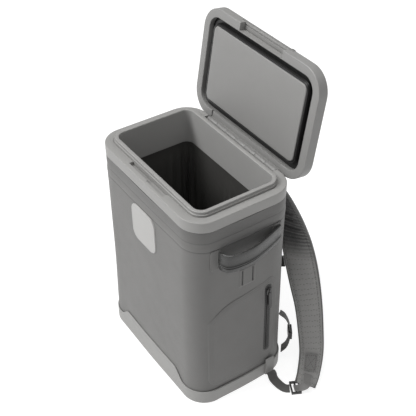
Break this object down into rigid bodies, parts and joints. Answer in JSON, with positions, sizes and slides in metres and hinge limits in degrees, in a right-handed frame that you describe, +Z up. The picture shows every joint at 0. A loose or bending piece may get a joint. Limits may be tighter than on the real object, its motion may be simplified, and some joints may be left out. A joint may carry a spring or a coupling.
{
  "type": "cooler backpack",
  "caption": "Upright soft-sided cooler backpack with a rigid rim, an open hinged hard lid with seal, side handles, a flat zipped side pocket and padded shoulder straps.",
  "frame": {"origin": "on the floor below the middle of the base", "axes": "+Z up, -Y to the front face with the plain plate, +Y to the back with the hinge and the shoulder straps, +X to the side with the zipped pocket"},
  "size_m": [0.5134, 0.3047, 0.6531],
  "materials": {
    "shell_fabric": "coated woven nylon with a fine grain, welded seams",
    "rim_plastic": "moulded, fine satin texture",
    "base_rubber": "moulded, matt",
    "lid_plastic": "moulded, fine satin texture",
    "panel_plastic": "moulded, fine grain",
    "liner_film": "soft food-safe film with folds",
    "badge_rubber": "soft moulded plate, bare",
    "seal_rubber": "soft black seal",
    "webbing_fabric": "woven webbing",
    "strap_mesh": "padded, perforated mesh face and bound edges",
    "hardware_plastic": "moulded, light sheen",
    "pin_steel": "plain steel rod"
  },
  "bodies": {
    "pack": {"body_shell": "shell_fabric", "pocket_panel": "shell_fabric", "tool_loop": "shell_fabric", "handle_patch_front_right": "shell_fabric", "handle_patch_front_left": "shell_fabric", "handle_patch_back_right": "shell_fabric", "handle_patch_back_left": "shell_fabric", "rim_collar": "rim_plastic", "base_tray": "base_rubber", "base_anchor_right": "base_rubber", "base_anchor_left": "base_rubber", "cooler_liner": "liner_film", "badge_plate": "badge_rubber", "zip_tape": "webbing_fabric", "side_handle_right": "webbing_fabric", "side_handle_left": "webbing_fabric", "strap_root_right": "webbing_fabric", "strap_root_left": "webbing_fabric", "lower_webbing_right": "webbing_fabric", "lower_webbing_left": "webbing_fabric", "webbing_tail_right": "webbing_fabric", "webbing_tail_left": "webbing_fabric", "strap_patch_right": "webbing_fabric", "strap_patch_left": "webbing_fabric", "side_webbing_right": "webbing_fabric", "side_webbing_left": "webbing_fabric", "chest_webbing_right": "webbing_fabric", "chest_webbing_left": "webbing_fabric", "shoulder_strap_right": "strap_mesh", "shoulder_strap_left": "strap_mesh", "zip_slider": "hardware_plastic", "zip_pull": "hardware_plastic", "chest_buckle": "hardware_plastic", "ladder_lock_right": "hardware_plastic", "ladder_lock_left": "hardware_plastic", "side_buckle_right": "hardware_plastic", "side_buckle_left": "hardware_plastic", "chest_slider_right": "hardware_plastic", "chest_slider_left": "hardware_plastic", "hinge_pin": "pin_steel"},
    "lid": {"lid_shell": "lid_plastic", "lid_panel": "panel_plastic", "lid_gasket": "seal_rubber", "hinge_barrel": "lid_plastic"},
    "latch": {"latch_bar": "lid_plastic", "latch_button": "seal_rubber"}
  },
  "joints": [
    {"name": "lid_hinge", "type": "hinge", "parent": "pack", "child": "lid", "pos_m": [0, 0.1055, 0.4443], "axis": [1, 0, 0], "range_deg": [0, 98.8]},
    {"name": "latch_hinge", "type": "hinge", "parent": "lid", "child": "latch", "pos_m": [0, 0.15801, 0.63906], "axis": [1, 0, 0], "range_deg": [-45, 0]}
  ]
}
